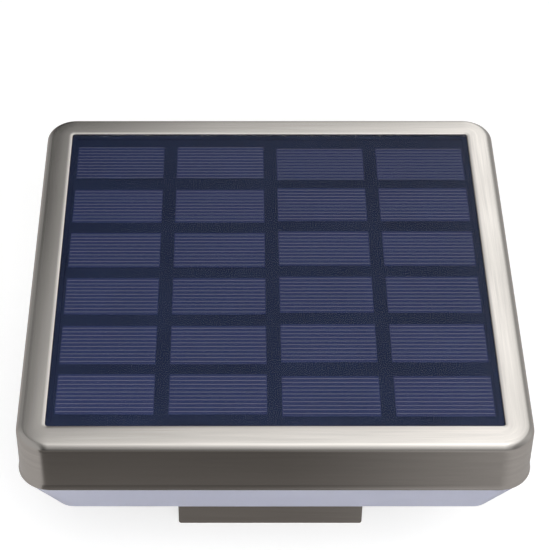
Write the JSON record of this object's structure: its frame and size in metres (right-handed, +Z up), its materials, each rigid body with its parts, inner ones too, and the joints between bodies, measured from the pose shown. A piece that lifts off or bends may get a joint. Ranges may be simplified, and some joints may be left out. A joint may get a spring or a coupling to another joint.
{
  "type": "solar fence post light",
  "caption": "Square solar light for a fence post: steel head with solar panel, frosted tapered diffuser, push switch below and a square sleeve over the post.",
  "frame": {"origin": "centre of the sleeve's open bottom rim", "axes": "+Z up along the post, -Y the front, +X to the right seen from the front"},
  "size_m": [0.1588, 0.1588, 0.0922],
  "materials": {
    "stainless": "brushed stainless steel",
    "clear_sheet": "clear glossy laminate",
    "cell_silicon": "dark blue coated silicon",
    "panel_board": "dark navy board",
    "seal_rubber": "black rubber",
    "silicone": "clear grey silicone",
    "foam": "closed-cell foam",
    "frosted_plastic": "frosted opal plastic",
    "dark_moulding": "fine-textured dark grey moulding",
    "white_moulding": "white reflector moulding",
    "circuit_board": "green circuit board",
    "led_white_board": "white circuit board",
    "led_phosphor": "yellow phosphor",
    "screw_steel": "stainless fastener",
    "spring_steel": "nickel-plated spring steel",
    "black_plastic": "black plastic",
    "coil_ferrite": "wound ferrite",
    "can_aluminium": "aluminium can",
    "terminal_plastic": "ivory plastic",
    "battery_wrap": "shrink-wrapped cell",
    "lug_brass": "tinned brass",
    "button_plastic": "black push button",
    "lead_insulation": "lead insulation"
  },
  "bodies": {
    "light": {"top_cover": "stainless", "post_sleeve": "stainless", "panel_cover": "clear_sheet", "solar_cells": "cell_silicon", "panel_backing": "panel_board", "panel_gasket": "seal_rubber", "diffuser_seal": "seal_rubber", "base_gasket": "seal_rubber", "sleeve_pad": "seal_rubber", "switch_washer": "seal_rubber", "cover_bond": "silicone", "panel_pads": "foam", "diffuser": "frosted_plastic", "chassis": "dark_moulding", "base_plate": "dark_moulding", "light_box": "white_moulding", "led_board": "led_white_board", "leds": "led_phosphor", "controller_board": "circuit_board", "base_screws": "screw_steel", "sleeve_screws": "screw_steel", "led_screws": "screw_steel", "controller_screws": "screw_steel", "holder_screws": "screw_steel", "switch_nut": "screw_steel", "contact_positive": "spring_steel", "contact_negative": "spring_steel", "button_spring": "spring_steel", "battery_holder": "black_plastic", "controller_chip": "black_plastic", "controller_coil": "coil_ferrite", "controller_capacitor": "can_aluminium", "board_terminals": "terminal_plastic", "battery": "battery_wrap", "battery_cap": "terminal_plastic", "switch_body": "black_plastic", "switch_lugs": "lug_brass", "panel_leads": "lead_insulation", "battery_leads": "lead_insulation", "led_leads": "lead_insulation", "switch_leads": "lead_insulation"},
    "button": {"power_button": "button_plastic"}
  },
  "joints": [
    {"name": "power_button_press", "type": "slide", "parent": "light", "child": "button", "axis": [0, 0, 1], "range_m": [0, 0.0015], "stiffness_N_per_m": 500, "springref_m": -0.003, "deforming": ["button_spring"]}
  ]
}
